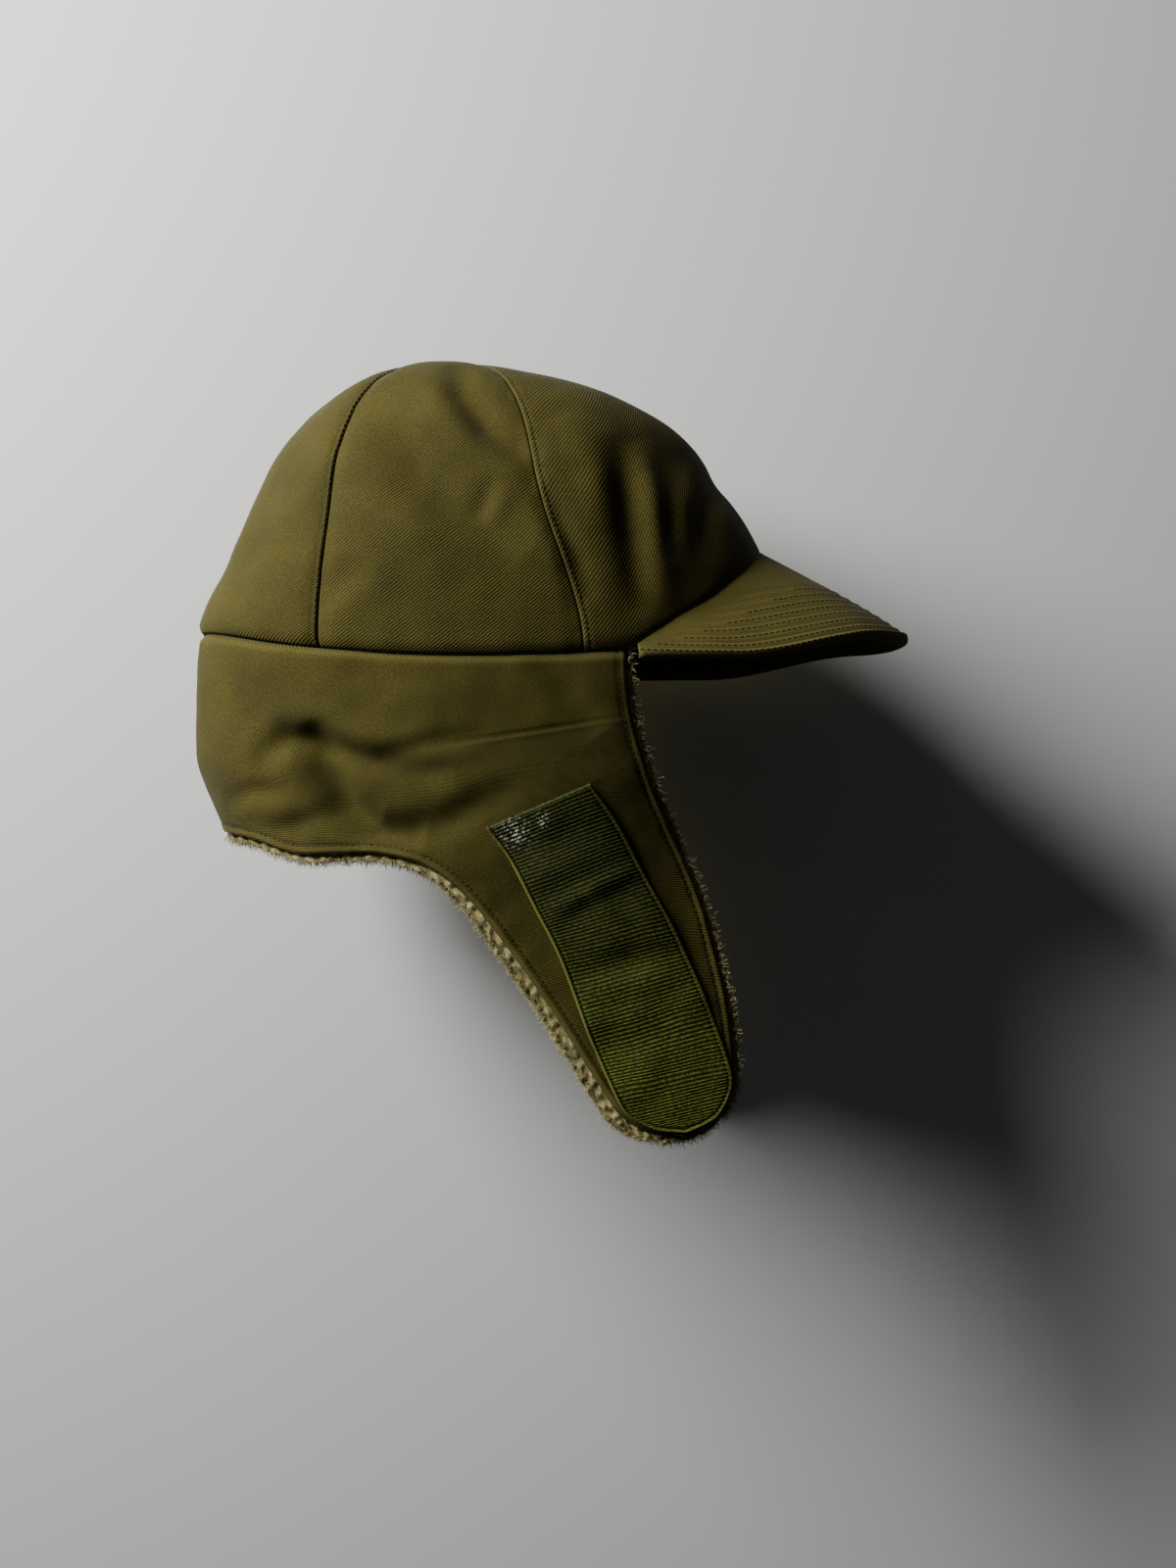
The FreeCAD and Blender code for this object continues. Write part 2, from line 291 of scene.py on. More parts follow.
def copyTo(name, seed, places, forward, up, sizes, mirror=False, value=None):
    # one mesh of many copies of a small piece: its X goes along forward and its Z along up
    count = len(seed.data.vertices)
    shape = np.zeros(count * 3)
    seed.data.vertices.foreach_get("co", shape)
    shape = shape.reshape(-1, 3) / mm
    x = forward / np.maximum(np.linalg.norm(forward, axis=1, keepdims=True), 1e-9)
    y = np.cross(up, x)
    y /= np.maximum(np.linalg.norm(y, axis=1, keepdims=True), 1e-9)
    z = np.cross(x, y)
    turned = np.stack([x, y, z], axis=1)
    corners = np.einsum("vk,nkj->nvj", shape, turned) * sizes[:, None, None] + places[:, None, :]
    corners = corners.reshape(-1, 3) * mm
    faces = [list(f.vertices) for f in seed.data.polygons]
    if mirror:
        corners[:, 1] *= -1
        faces = [f[::-1] for f in faces]
    every = [[i + n * count for i in f] for n in range(len(places)) for f in faces]
    mesh = bpy.data.meshes.new(name)
    mesh.from_pydata(corners.tolist(), [], every)
    if value is not None:
        layer = mesh.attributes.new("tips", "FLOAT", "POINT")
        layer.data.foreach_set("value", np.tile(value, len(places)).astype(np.float32))
    mesh.polygons.foreach_set("use_smooth", [True] * len(every))
    mesh.update()
    piece = bpy.data.objects.new(name, mesh)
    bpy.context.scene.collection.objects.link(piece)
    return piece


# One stitch: a short round thread that dips into the cloth at both ends.
thread = {"long": 1.8, "thick": 0.5, "pitch": 2.5}
bpy.ops.object.select_all(action="DESELECT")
bpy.ops.mesh.primitive_uv_sphere_add(
    segments=8, ring_count=6, radius=0.5 * mm, rotation=(0, math.pi / 2, 0))
stitchSeed = bpy.context.object
stitchSeed.name = "stitch"
bpy.ops.object.transform_apply(location=True, rotation=True, scale=True)
stitchSeed.scale = (thread["long"], thread["thick"], thread["thick"] * 0.8)
bpy.ops.object.transform_apply(location=True, rotation=True, scale=True)


def stitchLine(name, points, normals, mirror=False, size=1.0):
    place, ahead, normal = spaced(points, normals, thread["pitch"] * size)
    place = place + normal * 0.06
    return copyTo(name, stitchSeed, place, ahead, normal, np.full(len(place), size), mirror)


def offsetColumn(grid, normals, distance, fromEnd):
    # the line at a distance from a grid's first or last column, measured along its rows
    if fromEnd:
        grid, normals = grid[:, ::-1], normals[:, ::-1]
    step = np.linalg.norm(np.diff(grid, axis=1), axis=-1)
    total = np.concatenate([np.zeros((len(grid), 1)), np.cumsum(step, axis=1)], axis=1)
    kept = np.flatnonzero(total[:, -1] > distance * 1.5)
    line, normal = (
        np.array([[np.interp(distance, total[i], values[i, :, k]) for k in range(3)] for i in kept])
        for values in (grid, normals)
    )
    return line, normal


def joinPieces(name, parts):
    bpy.ops.object.select_all(action="DESELECT")
    for part in parts:
        part.select_set(True)
    bpy.context.view_layer.objects.active = parts[0]
    bpy.ops.object.join()
    parts[0].name = name
    parts[0].data.name = name
    return parts[0]


# Soft folds: each is a line in the side view, with a depth, a width, and a ridge beside it.
crownFolds = [
    {"line": [(-50, 98), (-36, 80), (-22, 62), (-4, 46), (18, 30)],
     "deep": 4.6, "wide": 12.0, "ridge": 0.3},
    {"line": [(-14, 112), (-8, 96), (2, 82), (14, 73), (24, 69)],
     "deep": 3.6, "wide": 6.5, "ridge": 0.45},
    {"line": [(5, 60), (2, 52), (-3, 42)], "deep": 1.2, "wide": 4.0, "ridge": -0.5},
    {"line": [(-66, 8), (-54, 20), (-42, 27)], "deep": 0.9, "wide": 6.0, "ridge": 0.3},
    {"line": [(55, 80), (56, 62), (58, 43), (61, 22), (64, 6)], "deep": 3.8, "wide": 6.0, "ridge": -0.7},
    {"line": [(72, 60), (73, 45), (73, 26)], "deep": 1.4, "wide": 4.0, "ridge": -0.3},
    {"line": [(24, 56), (31, 42), (37, 28), (42, 10)], "deep": 1.8, "wide": 4.5, "ridge": 0.4},
    {"line": [(32, 88), (44, 64), (45, 38)], "deep": -2.2, "wide": 8.0, "ridge": 0.0},
    {"line": [(44, 94), (64, 78), (82, 54)], "deep": 1.6, "wide": 7.0, "ridge": 0.5},
    {"line": [(96, 74), (88, 50), (86, 28)], "deep": 1.8, "wide": 6.0, "ridge": 0.4},
    {"line": [(-98, 20), (-90, 50), (-76, 78)], "deep": 1.0, "wide": 7.0, "ridge": 0.4},
]
curtainFolds = [
    {"line": [(-92, -56), (-84, -46), (-76, -41), (-67, -41), (-57, -46), (-43, -51), (-10, -55)],
     "deep": 4.0, "wide": 5.5, "ridge": -0.3},
    {"line": [(-70, -36), (-62, -54), (-53, -68), (-42, -77), (-22, -82)],
     "deep": 8.5, "wide": 8.0, "ridge": 0.15},
    {"line": [(-108, -67), (-92, -62), (-74, -62)], "deep": 1.6, "wide": 4.5, "ridge": 0.4},
    {"line": [(-90, -80), (-68, -74), (-56, -69)], "deep": 1.3, "wide": 4.5, "ridge": -0.4},
    {"line": [(-44, -84), (-14, -74), (16, -61)], "deep": 2.2, "wide": 6.5, "ridge": -0.4},
    {"line": [(-44, -49), (-22, -44), (4, -40)], "deep": 1.4, "wide": 4.0, "ridge": 0.5},
    {"line": [(20, -8), (34, -24), (46, -40)], "deep": 1.8, "wide": 8.0, "ridge": 0.0},
    {"line": [(44, -58), (52, -78), (64, -104)], "deep": 1.2, "wide": 5.0, "ridge": 0.0},
]


def foldDepth(x, z, folds):
    total = np.zeros_like(x)
    for fold in folds:
        line = np.array(fold["line"], float)
        parts = np.linalg.norm(np.diff(line, axis=0), axis=1)
        before = np.concatenate([[0], np.cumsum(parts)])
        nearest = np.full_like(x, 1e9)
        signed = np.zeros_like(x)
        along = np.zeros_like(x)
        for i, part in enumerate(parts):
            a, b = line[i], line[i + 1]
            dx, dz = (b - a) / part
            s = (x - a[0]) * dx + (z - a[1]) * dz
            s = np.clip(s, 0, part)
            px, pz = x - a[0] - s * dx, z - a[1] - s * dz
            d = np.hypot(px, pz)
            closer = d < nearest
            nearest = np.where(closer, d, nearest)
            signed = np.where(closer, np.where(px * dz - pz * dx > 0, d, -d), signed)
            along = np.where(closer, (before[i] + s) / before[-1], along)
        taper = np.sin(math.pi * np.clip(along, 0.0, 1.0)) ** 0.8
        shape = -bell(signed, fold["wide"])
        beside = signed - math.copysign(1.5 * fold["wide"], fold["ridge"])
        shape += abs(fold["ridge"]) * bell(beside, fold["wide"])
        total += fold["deep"] * taper * shape
    return total


# Crown: three gores a side. Front and rear gores lie over the side gore and are edge-stitched.
# Each seam leans: its angle round the apex grows from the foot upwards.
crown = {
    "seams": {"front": (52.3, 9.0, -9, 66), "rear": (124.0, 3.0, 40, 100)},
    "gores": {"front": (None, "front"), "side": ("front", "rear"), "rear": ("rear", None)},
    "cloth": 1.2,
    "seamDip": {"front": 0.7, "rear": 1.1},
    "lap": {"front": 0.35, "rear": 0.2},
    "edgeRoll": {"front": 0.5, "rear": 1.7},
    "footRoll": 2.8,
    "leftFolds": (8, -5, 0.7),  # the left side's folds: shifted in x and z, and softer
    "slack": [(1.1, 42.0, 3.1), (0.35, 13.0, 9.4)],
    "pucker": [(0.3, 6.0, 2.9)],
    "stitchIn": 1.9,
}


def clusterEnds(count, strength=0.55):
    # 0 to 1 with more steps near both ends
    t = np.linspace(0, 1, count)
    return (1 - strength) * t + strength * ease(t, 0, 1)


def seamTurn(name, z, otherwise):
    if name is None:
        return np.full_like(z, otherwise)
    foot, growth, low, high = crown["seams"][name]
    return np.radians(foot + growth * ease(z, low, high))


def goreGrid(gore, inset, rows, columns):
    # the gore's points, and their distances from its two seams
    first, last = crown["gores"][gore]
    share = clusterEnds(columns)[None, :] + np.zeros((rows, 1))
    up = np.clip(1 - clusterEnds(rows, 0.25), 0, 1)[:, None] + np.zeros((1, columns))
    z = form["height"] * up
    for _ in range(3):
        start, end = seamTurn(first, z, 0.0), seamTurn(last, z, math.pi)
        turn = start + (end - start) * share
        grid = crownPoint(turn, up, inset)
        z = grid[..., 2]
    reach = np.hypot(grid[..., 0] - form["apexX"], grid[..., 1])
    return grid, reach * (turn - start), reach * (end - turn)


def goreShape(gore, grid, toStart, toEnd, side):
    across, down = arcLengths(grid)
    toFoot = down[-1:] - down
    lift = np.zeros_like(toFoot)
    # a paler band 2 mm above the foot, and paler folded edges along the seams below
    wearAndPaintedLight = 0.5 * bell(toFoot - 2.0, 1.2)
    for name, distance in zip(crown["gores"][gore], (toStart, toEnd)):
        if name is None:
            lift -= 0.6 * bell(distance, 3.0) + 1.2 * np.clip(1 - distance / 0.9, 0, 1) ** 2
            continue
        over = gore != "side"
        lift += (crown["lap"][name] if over else 0.0) * bell(distance, 4.0)
        lift -= crown["seamDip"][name] * bell(distance, 4.5)
        lift -= crown["edgeRoll"][name] * np.clip(1 - distance / 1.1, 0, 1) ** 2
        lift -= 0.3 * bell(distance - crown["stitchIn"], 0.6) * over
        lift += bell(distance, 7.0) * slack(grid, crown["pucker"])
        # painted highlight on the front gore's folded edge at the front seam; only slightly paler at the other
        # seams
        wearAndPaintedLight += bell(distance - 0.5, 0.5) * (0.4 if over and name == "front" else 0.1)
    lift -= crown["footRoll"] * np.clip(1 - toFoot / 5.0, 0, 1) ** 2
    seam = np.minimum(toStart, toEnd)
    right, up, strength = (0, 0, 1.0) if side == "right" else crown["leftFolds"]
    lift += foldDepth(grid[..., 0] + right, grid[..., 2] + up, crownFolds) * strength * ease(seam, -3, 5)
    return lift + slack(grid, crown["slack"]), wearAndPaintedLight


stitches = []


def buildCrown():
    made = {}
    for gore in crown["gores"]:
        for side in ("right", "left"):
            grid, toStart, toEnd = goreGrid(gore, 0.0, 100, 84 if gore == "side" else 64)
            normals = normalsOf(grid)
            lift, wearAndPaintedLight = goreShape(gore, grid, toStart, toEnd, side)
            grid = grid + normals * lift[..., None]
            grid[0] = grid[0].mean(axis=0)
            piece = clothFromGrid(f"crown_{gore}_{side}", grid, side == "left", {"wearAndPaintedLight": wearAndPaintedLight})
            finishCloth(piece, crown["cloth"], awayFromMiddle)
            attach(piece, "cap")
            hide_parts(f"crown_shell_{gore}_{side}")
            made[gore, side] = piece
            if gore != "side":
                line, normal = offsetColumn(grid, normals, crown["stitchIn"], gore == "front")
                stitches.append(stitchLine(f"crown_stitches_{gore}_{side}", line, normal, side == "left"))
    return made


# Quilted lining inside the crown, over the wadding.
quilt = {
    "inset": 5.6,
    "cell": 32.0,
    "puff": (1.2, 2.8),
    "fuller": (32, 50),  # heights between which the puffs grow, above the forehead band
    "cloth": 0.6,
    "slack": [(0.4, 25.0, 8.8)],
}


def buildLining():
    made = []
    for gore in crown["gores"]:
        for side in ("right", "left"):
            grid, toStart, toEnd = goreGrid(gore, quilt["inset"], 60, 44)
            normals = normalsOf(grid)
            across, down = arcLengths(grid)
            a, b = (across + down) * math.pi / quilt["cell"], (across - down) * math.pi / quilt["cell"]
            shallow, full = quilt["puff"]
            deep = shallow + (full - shallow) * ease(grid[..., 2], *quilt["fuller"])
            puff = deep * np.minimum(np.abs(np.sin(a)), np.abs(np.sin(b))) ** 0.5
            seam = np.minimum(toStart, toEnd)
            lift = 0.6 - puff * ease(seam, 0, 5) + slack(grid, quilt["slack"])
            grid = grid + normals * lift[..., None]
            grid[0] = grid[0].mean(axis=0)
            piece = clothFromGrid(f"crown_lining_{gore}_{side}_quilted", grid, mirror=side == "left")
            finishCloth(piece, quilt["cloth"], awayFromMiddle)
            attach(piece, "cap")
            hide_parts(f"crown_lining_{gore}_{side}", f"crown_wadding_{gore}_{side}")
            made.append(piece)
    return made


# Soft cotton band at the forehead, with a stitched fold along its upper edge.
band = {"inset": 7.0, "high": 28.0, "reach": 57.0, "cloth": 1.1, "fold": 2.5, "slack": [(0.4, 15.0, 6.1)]}


def buildBand():
    turn = np.radians(np.linspace(-band["reach"], band["reach"], 120))[None, :] + np.zeros((16, 1))
    up = np.linspace(1, 0, 16)[:, None]
    grid = crownAt(turn, crownFoot(turn, band["inset"]) + 0.6 + (band["high"] - 1) * up, band["inset"])
    normals = normalsOf(grid[:, 60:])
    normals = np.concatenate([normals[:, ::-1] * np.array([1, -1, 1]), normals], axis=1)
    lift = slack(grid, band["slack"]) - 0.5 * bell((up - 1) * band["high"] + band["fold"], 1.5)
    grid = grid + normals * lift[..., None]
    piece = clothFromGrid("forehead_band", grid)
    finishCloth(piece, band["cloth"], awayFromMiddle)
    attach(piece, "cap")
    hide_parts("forehead_sweatband")
    return piece


# Blank woven label behind the head.
label = {
    "inset": 7.1,
    "wide": 34.0,
    "high": 26.0,
    "bottom": 24.0,
    "cloth": 0.35,
    "ripple": (0.5, 5.0, 7.0),
}


def buildLabel():
    y = np.linspace(-label["wide"] / 2, label["wide"] / 2, 30)[None, :] + np.zeros((22, 1))
    z = label["bottom"] + label["high"] * np.linspace(1, 0, 22)[:, None] + 0 * y
    length, width, middle = section(z, label["inset"])
    n = form["square"]
    x = middle - length * (1 - np.abs(y / width) ** n) ** (1 / n)
    high, alongY, alongZ = label["ripple"]
    x = x + high * np.sin(y / alongY) * np.sin(z / alongZ)
    grid = np.stack([x, y, z], -1)
    piece = clothFromGrid("blank_label", grid)
    finishCloth(piece, label["cloth"], awayFromMiddle)
    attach(piece, "cap")
    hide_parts("size_label")
    return piece


# Curtain and ear flap are one cloth. Each pair is a point of its rear edge and one of its
# front edge in the side view; the rows of the cloth run from the one to the other.
sidePairs = [
    (None, 3.0, 57.0, -7.2),
    (None, -32.0, 57.2, -18.0),
    (None, -73.5, 58.7, -31.0),
    (-95.0, -81.5, 60.2, -38.0),
    (-75.0, -87.0, 62.0, -44.5),
    (-56.0, -86.8, 64.3, -51.5),
    (-38.0, -86.8, 66.7, -58.5),
    (-21.0, -91.5, 69.6, -66.0),
    (-8.0, -100.5, 73.2, -74.0),
    (4.0, -114.0, 79.0, -87.0),
    (20.0, -136.0, 86.2, -105.0),
    (37.0, -162.0, 93.6, -132.0),
    (46.0, -176.2, 97.2, -151.0),
    (53.0, -186.5, 98.6, -168.0),
    (60.5, -192.2, 96.2, -181.5),
    (68.8, -194.9, 88.6, -190.6),
    (78.2, -195.4, 79.2, -195.2),
]
sideCloth = {
    "cloth": 1.2,
    "stitchIn": 3.6,
    "pileBeyond": 3.3,
    "pileThick": 6.2,
    "pileInset": 2.2,
    "napeX": -121.0,  # the rear ends of the first three pairs, on the middle seam
    "leftFolds": (9.0, 0.7),
    "slack": [(1.2, 36.0, 5.7)],
    "crease": [(0.3, 10.0, 1.4)],
    "pucker": [(0.35, 7.0, 4.4)],
}
# How much further the pile shows behind the flap: a share, by the number of the pair.
rearPile = [(6, 0.0), (9, 0.9), (13, 1.0), (14, 0.6), (15, 0.2), (16, 0.0)]


def grownPairs(growth):
    # the pairs moved outwards, for the pile that shows beyond the cloth
    rear = np.array([(sideCloth["napeX"] if x is None else x, z) for x, z, _, _ in sidePairs])
    front = np.array([(x, z) for _, _, x, z in sidePairs])
    further = np.interp(np.arange(len(rear)), *zip(*rearPile)) if growth > 0 else np.zeros(len(rear))
    grown = []
    for points, sign, share in ((rear, 1, further), (front, -1, np.zeros(len(front)))):
        along = np.gradient(points, axis=0)
        along[0] = along[1]
        along /= np.linalg.norm(along, axis=1, keepdims=True)
        outward = np.stack([along[:, 1], -along[:, 0]], -1) * sign
        grown.append(points + outward * (growth * (1 + share))[:, None])
    grown[0][:3] = rear[:3]
    grown[0][2, 1] -= growth
    return grown


def sideEnds(growth, rows):
    rear, front = grownPairs(growth)
    rearTurn = wallTurn(rear[:, 0], rear[:, 1])
    rearTurn[:3] = math.pi
    frontTurn = wallTurn(front[:, 0], front[:, 1])
    reach = sum(np.linalg.norm(np.diff(line, axis=0), axis=1) for line in grownPairs(0.0))
    reach[:2] = (35, 42)  # down the nape, where the pairs lie far apart
    total = np.concatenate([[0], np.cumsum(reach)])
    at = np.interp(np.linspace(0, total[-1], rows), total, np.arange(len(total)))
    left = throughPoints(np.stack([rearTurn, rear[:, 1]], -1), at)
    right = throughPoints(np.stack([frontTurn, front[:, 1]], -1), at)
    left[:, 0] = np.minimum(left[:, 0], math.pi)
    return left, right, at


def sideGrid(inset, growth, rows, columns):
    left, right, at = sideEnds(growth, rows)
    u = clusterEnds(columns, 0.35)[None, :]
    turn = left[:, :1] + (right[:, :1] - left[:, :1]) * u
    z = left[:, 1:] + (right[:, 1:] - left[:, 1:]) * u
    x = wallPoint(turn, z)[..., 0]
    fade = 1 - ease(at, 0, 2)[:, None]
    z = z + (seamHeight(x) - z[:1]) * fade
    return wallPoint(turn, z, inset), at


def freeEdge(inset, growth, count=260):
    # points of the free edge from the seam down the front, round the tip, to the nape
    left, right, at = sideEnds(growth, count)
    down = wallPoint(right[:, 0], right[:, 1], inset)
    back = wallPoint(left[:, 0], left[:, 1], inset)[at >= 2][::-1]
    return np.vstack([down, back])


def distanceTo(grid, line):
    flat = grid.reshape(-1, 3)
    best = np.full(len(flat), 1e9)
    for i in range(0, len(flat), 4000):
        block = flat[i:i + 4000]
        best[i:i + 4000] = np.sqrt(((block[:, None] - line[None]) ** 2).sum(-1)).min(axis=1)
    return best.reshape(grid.shape[:-1])


dart = [
    {"line": [(57, -33), (19, -39.1), (-7, -43.2), (-20, -45.5)], "deep": 0.6, "wide": 0.8, "ridge": -0.6},
]


def softFolds(grid, edge, side):
    shift, strength = (0.0, 1.0) if side == "right" else sideCloth["leftFolds"]
    folds = strength * ease(edge, 0, 8) * foldDepth(grid[..., 0] + shift, grid[..., 2], curtainFolds)
    return folds + slack(grid, sideCloth["slack"]) * ease(edge, -4, 10)


def buildSides():
    made = {}
    for side in ("right", "left"):
        grid, at = sideGrid(0.0, 0.0, 190, 130)
        normals = normalsOf(grid)
        edge = distanceTo(grid, freeEdge(0.0, 0.0))
        seam = np.abs(grid[..., 2] - seamHeight(grid[..., 0]))
        seam = np.where(grid[..., 0] < visorSeam[0][0] - 2, seam, 50.0)  # no seam in front of the curtain
        lift = softFolds(grid, edge, side)
        lift -= 1.5 * np.clip(1 - edge / 1.8, 0, 1) ** 2
        lift += 0.3 * bell(edge - 2.0, 1.1) - 0.4 * bell(edge - sideCloth["stitchIn"], 0.7)
        lift -= 2.2 * np.clip(1 - seam / 4.0, 0, 1) ** 2 + 0.6 * bell(seam, 9.0)
        lift -= 1.3 * np.clip(1 - np.abs(grid[..., 1]) / 1.8, 0, 1) ** 2
        lift += foldDepth(grid[..., 0], grid[..., 2], dart) * ease(edge, 2, 5)
        lift += slack(grid, sideCloth["crease"]) + slack(grid, sideCloth["pucker"]) * bell(edge - 2, 3.0)
        # paler along the free edge's roll and in a band just below the top seam: rubbed wear, and painted
        # highlight where these rolls face the light
        wearAndPaintedLight = bell(edge - 1.4, 0.9) * 0.7 + 0.4 * bell(seam - 1.6, 1.0)
        lifted = grid + normals * lift[..., None]
        piece = clothFromGrid(f"side_cloth_{side}", lifted, side == "left", {"wearAndPaintedLight": wearAndPaintedLight})
        finishCloth(piece, sideCloth["cloth"], awayFromMiddle)
        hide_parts(f"curtain_shell_{side}", f"flap_shell_{side}")
        line, normal = onSurface(freeEdge(0.0, -sideCloth["stitchIn"]), grid, lift, normals)
        sewn = stitchLine(f"edge_stitches_{side}", line[3:-3], normal[3:-3], side == "left")
        made[side] = piece, sewn
    return made


def buildPile():
    made = {}
    inset, growth = sideCloth["pileInset"], sideCloth["pileBeyond"] - 0.6
    for side in ("right", "left"):
        grid, at = sideGrid(inset, growth, 250, 150)
        edge = distanceTo(grid, freeEdge(inset, growth))
        top = (1 - ease(at, 0, 0.8))[:, None]
        grid[..., 2] -= 3.5 * top
        grid = grid + normalsOf(grid) * (softFolds(grid, edge, side) - 2.6 * top)[..., None]
        piece = clothFromGrid(f"pile_{side}", grid, mirror=side == "left")
        finishCloth(piece, sideCloth["pileThick"], awayFromMiddle)
        flat = np.zeros(len(piece.data.vertices) * 3)
        piece.data.vertices.foreach_get("co", flat)
        normal = np.array([v.normal for v in piece.data.vertices])
        flat = flat.reshape(-1, 3)
        lump = np.array([
            noise.voronoi(Vector(p / mm / 3.4), distance_metric="DISTANCE")[0][0]
            + 0.35 * noise.noise(Vector(p / mm / 1.3))
            for p in flat
        ])
        lump = 0.9 - 1.9 * lump
        piece.data.vertices.foreach_set("co", (flat + normal * lump[:, None] * mm).ravel())
        # painted shade: paler on the lumps, darker in the hollows between them
        tips = piece.data.attributes.new("tips", "FLOAT", "POINT")
        tips.data.foreach_set("value", np.clip(0.5 + lump / 2.2, 0, 1).astype(np.float32))
        piece.data.update()
        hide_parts(f"curtain_lining_{side}", f"flap_lining_{side}")
        made[side] = piece
    return made


# Loose curls of pile that stick out all round the free edge.
curl = {"long": 4.4, "thick": 0.46, "turn": 3.4, "spacing": 0.4, "rows": (1.9, 3.0, 4.2, 5.5, 6.9)}


def curlSeed():
    t = np.linspace(0, 1, 5)[:, None]
    a = np.linspace(0, 2 * math.pi, 4)[None, :]
    radius = curl["thick"] / 2 * (1 - 0.75 * t) * np.where((t == 0) | (t == 1), 0.05, 1)
    bend = curl["turn"] * t
    x = curl["long"] * t * 0.75 + radius * np.sin(bend) * np.cos(a)
    y = 0.7 * np.sin(bend) + radius * np.sin(a)
    z = 0.7 * (1 - np.cos(bend)) + radius * np.cos(a)
    piece = clothFromGrid("curl", np.stack([x, y, z], -1))
    finishCloth(piece, 0, lambda p: (0, p.y, p.z))
    # painted shade: each curl paler towards its tip, darker at its root
    tips = np.array([v.co.x for v in piece.data.vertices]) / mm / (curl["long"] * 0.75)
    return piece, 0.25 + 0.75 * np.clip(tips, 0, 1)


def buildCurls():
    seed, tips = curlSeed()
    made = {}
    for side in ("right", "left"):
        luck = np.random.default_rng(11 if side == "right" else 12)
        places, aims, ups = [], [], []
        for inset in curl["rows"]:
            line = freeEdge(inset, sideCloth["pileBeyond"] - 1.6, 400)
            inner = freeEdge(inset, sideCloth["pileBeyond"] - 6.0, 400)
            out = line - inner
            place, ahead, aim = spaced(line, out, curl["spacing"])
            count = len(place)
            place = place + luck.normal(0, 0.5, (count, 3))
            aim = aim / np.linalg.norm(aim, axis=1, keepdims=True) + luck.normal(0, 0.55, (count, 3))
            places.append(place)
            aims.append(aim)
            ups.append(luck.normal(0, 1, (count, 3)))
        places, aims, ups = np.vstack(places), np.vstack(aims), np.vstack(ups)
        sizes = luck.uniform(0.65, 1.15, len(places))
        piece = copyTo(f"pile_curls_{side}", seed, places, aims, ups, sizes, side == "left", tips)
        made[side] = piece
    bpy.data.objects.remove(seed)
    return made


# Visor: arched, its outer edge level at the sides and raised in the middle.
visor = {
    "long": 53.5,
    "end": 58.5,
    "flare": 2.1,
    "sideDrop": 8.9,
    "frontRise": 1.6,
    "rise": (0.35, 0.9),  # shares of the length between which the edge rises
    "square": 0.72,  # 1 is an ellipse seen from above
    "crest": 1.7,
    "thick": 4.4,
    "lap": 1.5,
    "slack": [(0.25, 14.0, 7.7)],
    # painted light: a paler tone over the whole visor, as where its top faces the light
    "wornAndLit": 0.9,
    "stitchRows": (3.4, 7.5, 12.5, 17.5, 22.5, 27.5, 32.5, 37.5),
}


def sideDistance(x, z):
    length, width, middle = section(np.array([z]))
    share = abs(x - middle[0]) / length[0]
    return float(width[0] * (1 - share ** form["square"]) ** (1 / form["square"]))


def visorPoint(u, v):
    end = math.atan2(sideDistance(visor["end"] + 1, -6.0), visor["end"] + 1)
    turn = u * end
    z = np.zeros_like(turn)
    for _ in range(30):
        reach = crownReach(turn, z, 0.0, 0.0)
        x, y = reach * np.cos(turn), reach * np.sin(turn)
        z = 0.5 * z + 0.5 * seamHeight(np.maximum(x, visorSeam[0][0]))
    seam = np.stack([x, y, z + visor["lap"]], -1)
    depth = np.cos(u * math.pi / 2)
    halfWidth = sideDistance(visor["end"], 0.0) + visor["flare"]
    edge = np.stack([
        visor["end"] + (form["halfLength"] + visor["long"] - visor["end"]) * depth,
        halfWidth * np.sign(u) * np.abs(np.sin(u * math.pi / 2)) ** visor["square"],
        -visor["sideDrop"] + (visor["sideDrop"] + visor["frontRise"]) * ease(depth, *visor["rise"]),
    ], -1)
    point = seam + (edge - seam) * v[..., None]
    on = np.clip(v, 0, 1)
    point[..., 2] += visor["crest"] * depth * on * (1 - on ** 3) / 0.47
    return point


def visorNormals(grid):
    n = np.cross(np.gradient(grid, axis=1), np.gradient(grid, axis=0))
    n /= np.maximum(np.linalg.norm(n, axis=-1, keepdims=True), 1e-9)
    return np.where(n[..., 2:] < 0, -n, n)


